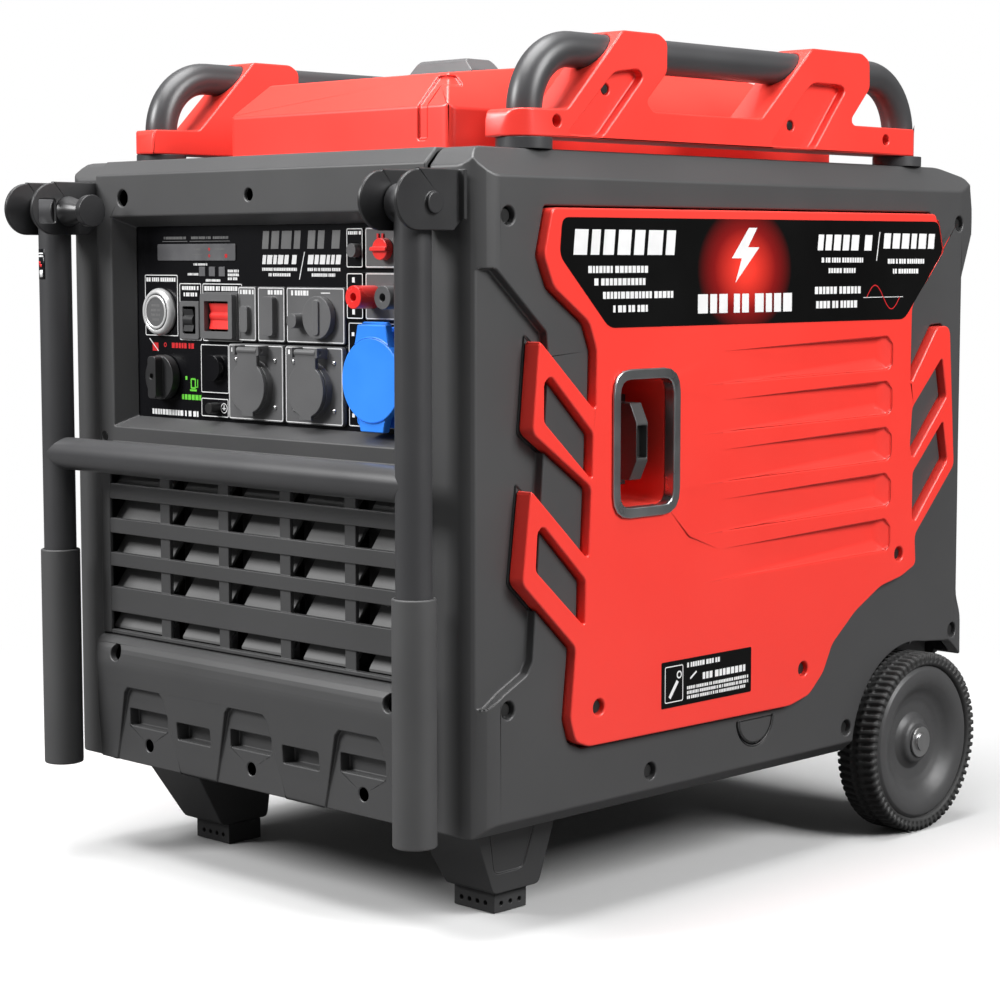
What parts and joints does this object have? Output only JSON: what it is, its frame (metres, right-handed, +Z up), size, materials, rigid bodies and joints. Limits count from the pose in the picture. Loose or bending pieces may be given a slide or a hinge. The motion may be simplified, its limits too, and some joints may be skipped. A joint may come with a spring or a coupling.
{
  "type": "inverter generator",
  "caption": "Closed two-wheeled inverter generator with a folding pull handle, lifting rails, front control panel with covered sockets and a side pull starter.",
  "frame": {"origin": "centre of the bounding box, on the floor", "axes": "+X across to the pull-starter side, -Y to the control panel, +Z up"},
  "size_m": [0.5478, 0.736, 0.702],
  "materials": {
    "dark_cover": "fine textured moulding",
    "black_steel": "satin black powder coat",
    "black_tube": "satin black powder coat",
    "panel_black": "satin printed sheet",
    "backing_grey": "matt moulding",
    "red_cover": "semi-gloss moulding",
    "silver_trim": "satin silver",
    "black_plastic": "satin moulding",
    "tank_plastic": "matt moulding",
    "foot_rubber": "soft matt rubber",
    "steel": "zinc plated",
    "socket_grey": "satin moulding",
    "display_grey": "smoked window",
    "blue_plastic": "semi-gloss moulding",
    "red_knob": "gloss moulding",
    "cast_alloy": "as cast",
    "heat_steel": "heat-tinted sheet",
    "tyre_rubber": "moulded tread",
    "hub_plastic": "satin moulding",
    "grip_plastic": "satin moulding",
    "cord": "braided cord",
    "chrome_button": "satin chrome"
  },
  "bodies": {
    "chassis": {"base_pan": "black_steel", "side_shell_right": "dark_cover", "side_shell_left": "dark_cover", "front_cover": "dark_cover", "top_deck": "dark_cover", "rear_cover": "dark_cover", "control_plate": "panel_black", "front_grille": "dark_cover", "grille_backing": "backing_grey", "bumper": "dark_cover", "tank_cover": "red_cover", "side_panel_right": "red_cover", "side_panel_left": "red_cover", "starter_recess": "red_cover", "recess_frame": "silver_trim", "recoil_housing": "black_plastic", "fuel_tank": "tank_plastic", "top_rails": "red_cover", "carry_tubes": "black_tube", "handle_brackets": "black_steel", "support_legs": "dark_cover", "foot_pads": "foot_rubber", "axle": "steel", "outlet_bezels": "socket_grey", "display_window": "display_grey", "earthed_sockets": "socket_grey", "blue_socket": "blue_plastic", "parallel_posts": "red_knob", "cover_screws": "steel", "engine_block": "cast_alloy", "muffler": "heat_steel", "air_cleaner": "black_plastic", "inverter_module": "cast_alloy", "battery": "black_plastic"},
    "handle": {"handle_legs": "black_tube", "handle_crossbar": "black_tube", "handle_grips": "foot_rubber"},
    "knob_right": {"lock_knob_right": "black_plastic"},
    "knob_left": {"lock_knob_left": "black_plastic"},
    "wheel_right": {"tyre_right": "tyre_rubber", "hub_right": "hub_plastic"},
    "wheel_left": {"tyre_left": "tyre_rubber", "hub_left": "hub_plastic"},
    "starter": {"starter_grip": "grip_plastic", "starter_rope": "cord"},
    "pulley": {"recoil_pulley": "cast_alloy"},
    "crank": {"crankshaft": "steel", "rotor_fan": "cast_alloy"},
    "cap_seat": {"cap_gasket": "foot_rubber"},
    "cap": {"fuel_cap": "socket_grey"},
    "start": {"start_button": "chrome_button"},
    "eco": {"eco_rocker": "black_plastic"},
    "breaker": {"breaker_rocker": "red_knob"},
    "tap": {"fuel_tap_knob": "black_plastic"},
    "selector": {"selector_knob": "red_knob"},
    "reset": {"reset_button": "socket_grey"},
    "lid_1": {"socket_lid_1": "socket_grey"},
    "lid_2": {"socket_lid_2": "socket_grey"},
    "blue_lid": {"blue_flap": "blue_plastic"},
    "dc_plug": {"dc_cap": "socket_grey"}
  },
  "joints": [
    {"name": "handle_fold", "type": "hinge", "parent": "chassis", "child": "handle", "pos_m": [0, -0.3312, 0.563], "axis": [-1, 0, 0], "range_deg": [0, 95]},
    {"name": "lock_right", "type": "slide", "parent": "chassis", "child": "knob_right", "axis": [-1, 0, 0], "range_m": [0, 0.008], "stiffness_N_per_m": 400, "springref_m": -0.004},
    {"name": "lock_left", "type": "slide", "parent": "chassis", "child": "knob_left", "axis": [1, 0, 0], "range_m": [0, 0.008], "stiffness_N_per_m": 400, "springref_m": -0.004},
    {"name": "wheel_right_spin", "type": "hinge", "parent": "chassis", "child": "wheel_right", "pos_m": [0.25, 0.2666, 0.0823], "axis": [1, 0, 0], "continuous": true},
    {"name": "wheel_left_spin", "type": "hinge", "parent": "chassis", "child": "wheel_left", "pos_m": [-0.25, 0.2666, 0.0823], "axis": [1, 0, 0], "continuous": true},
    {"name": "starter_pull", "type": "slide", "parent": "chassis", "child": "starter", "axis": [1, 0, 0], "range_m": [0, 0.36], "stiffness_N_per_m": 30, "springref_m": -0.1},
    {"name": "pulley_spin", "type": "hinge", "parent": "chassis", "child": "pulley", "pos_m": [0, -0.106, 0.317], "axis": [0, 1, 0], "range_deg": [0, 350]},
    {"name": "crank_spin", "type": "hinge", "parent": "chassis", "child": "crank", "pos_m": [0, 0, 0.317], "axis": [0, 1, 0], "continuous": true},
    {"name": "cap_lift", "type": "slide", "parent": "chassis", "child": "cap_seat", "axis": [0, 0, 1], "range_m": [0, 0.06]},
    {"name": "cap_turn", "type": "hinge", "parent": "cap_seat", "child": "cap", "pos_m": [0, -0.066, 0.67], "axis": [0, 0, 1], "range_deg": [0, 270]},
    {"name": "start_press", "type": "slide", "parent": "chassis", "child": "start", "axis": [0, 1, 0], "range_m": [0, 0.002], "stiffness_N_per_m": 300, "springref_m": -0.002},
    {"name": "eco_tilt", "type": "hinge", "parent": "chassis", "child": "eco", "pos_m": [-0.101, -0.28, 0.471], "axis": [1, 0, 0], "range_deg": [-10, 10]},
    {"name": "breaker_tilt", "type": "hinge", "parent": "chassis", "child": "breaker", "pos_m": [-0.057, -0.28, 0.475], "axis": [1, 0, 0], "range_deg": [-8, 8]},
    {"name": "tap_turn", "type": "hinge", "parent": "chassis", "child": "tap", "pos_m": [-0.134, -0.281, 0.422], "axis": [0, 1, 0], "range_deg": [0, 90]},
    {"name": "selector_turn", "type": "hinge", "parent": "chassis", "child": "selector", "pos_m": [0.143, -0.281, 0.53], "axis": [0, 1, 0], "range_deg": [0, 90]},
    {"name": "reset_press", "type": "slide", "parent": "chassis", "child": "reset", "axis": [0, 1, 0], "range_m": [0, 0.002], "stiffness_N_per_m": 300, "springref_m": -0.002},
    {"name": "lid_1_open", "type": "hinge", "parent": "chassis", "child": "lid_1", "pos_m": [-0.012, -0.2929, 0.448], "axis": [-1, 0, 0], "range_deg": [0, 100], "stiffness_Nm_per_rad": 0.02, "springref_deg": -17.19},
    {"name": "lid_2_open", "type": "hinge", "parent": "chassis", "child": "lid_2", "pos_m": [0.06, -0.2929, 0.448], "axis": [-1, 0, 0], "range_deg": [0, 100], "stiffness_Nm_per_rad": 0.02, "springref_deg": -17.19},
    {"name": "blue_lid_open", "type": "hinge", "parent": "chassis", "child": "blue_lid", "pos_m": [0.144, -0.2944, 0.471], "axis": [-1, 0, 0], "range_deg": [0, 100], "stiffness_Nm_per_rad": 0.05, "springref_deg": -22.92},
    {"name": "dc_plug_turn", "type": "hinge", "parent": "chassis", "child": "dc_plug", "pos_m": [0.068, -0.281, 0.476], "axis": [0, 1, 0], "range_deg": [0, 270]}
  ],
  "couplings": [
    {"joint": "pulley_spin", "follows": "starter_pull", "rad_per_m": 16.667}
  ]
}
